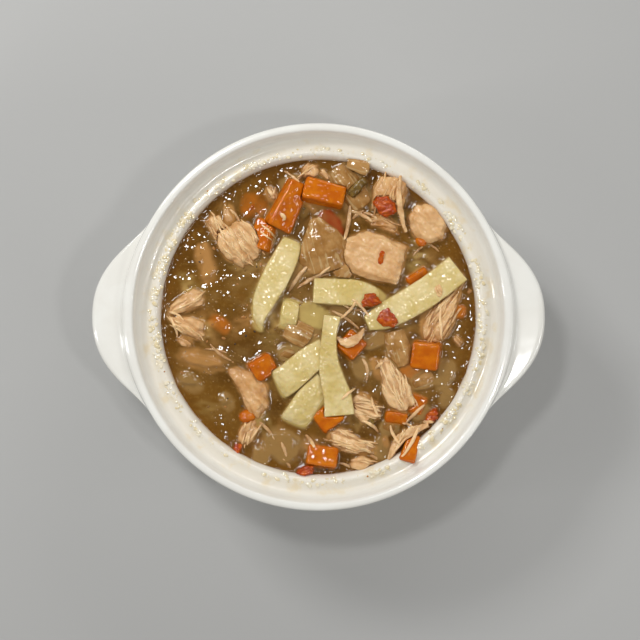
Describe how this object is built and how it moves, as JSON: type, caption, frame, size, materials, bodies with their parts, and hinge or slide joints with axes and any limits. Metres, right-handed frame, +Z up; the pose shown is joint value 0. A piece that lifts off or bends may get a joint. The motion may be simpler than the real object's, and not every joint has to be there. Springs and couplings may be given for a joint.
{
  "type": "bowl of chicken noodle soup",
  "caption": "Chicken noodle soup with broad noodles, diced carrot, torn chicken and onion in a round white bowl with two lug handles.",
  "frame": {"origin": "centre of the underside of the foot ring", "axes": "+Z up, +X through the middles of the two handles, +Y to the far side as seen from above with a handle at each side"},
  "size_m": [0.2108, 0.18, 0.07],
  "materials": {
    "stoneware": "gloss white glaze",
    "broth": "wet, cloudy brown broth",
    "noodle": "wet, pale yellow cooked pasta",
    "chicken": "moist cooked chicken with fibres",
    "carrot": "wet cooked carrot",
    "onion": "wet, half clear cooked onion",
    "tomato": "wet soft tomato",
    "celery": "wet cooked celery"
  },
  "bodies": {
    "root": {"bowl": "stoneware", "broth": "broth", "carrot_bottom": "carrot", "carrot_dark_side": "carrot", "carrot_ledge": "carrot", "carrot_left": "carrot", "carrot_low": "carrot", "carrot_middle": "carrot", "carrot_pale_bit": "carrot", "carrot_right": "carrot", "carrot_slab": "carrot", "carrot_sliver": "carrot", "carrot_sunken": "carrot", "carrot_wedge": "carrot", "celery_stub": "celery", "chicken_bean": "chicken", "chicken_big": "chicken", "chicken_big_side": "chicken", "chicken_bit": "chicken", "chicken_breast": "chicken", "chicken_brown": "chicken", "chicken_cube": "chicken", "chicken_flake_edge": "chicken", "chicken_flakes": "chicken", "chicken_low": "chicken", "chicken_lower_leaf": "chicken", "chicken_right": "chicken", "chicken_spiky": "chicken", "chicken_tail": "chicken", "chicken_tip": "chicken", "chicken_top": "chicken", "chicken_torn": "chicken", "chicken_upper_leaf": "chicken", "noodle_arch": "noodle", "noodle_curl": "noodle", "noodle_fold": "noodle", "noodle_left": "noodle", "noodle_mid": "noodle", "noodle_right": "noodle", "noodle_top": "noodle", "onion_curl": "onion", "onion_ledge": "onion", "onion_mottled": "onion", "onion_petal": "onion", "onion_petal_small": "onion", "onion_square": "onion", "onion_striped_right": "onion", "onion_striped_top": "onion", "shred_crescent": "chicken", "shred_fork": "chicken", "shred_strand": "chicken", "tomato_edge": "tomato", "tomato_mid": "tomato", "tomato_on_chicken": "tomato", "tomato_right": "tomato", "tomato_right_edge": "tomato", "tomato_skin": "tomato"}
  },
  "joints": []
}
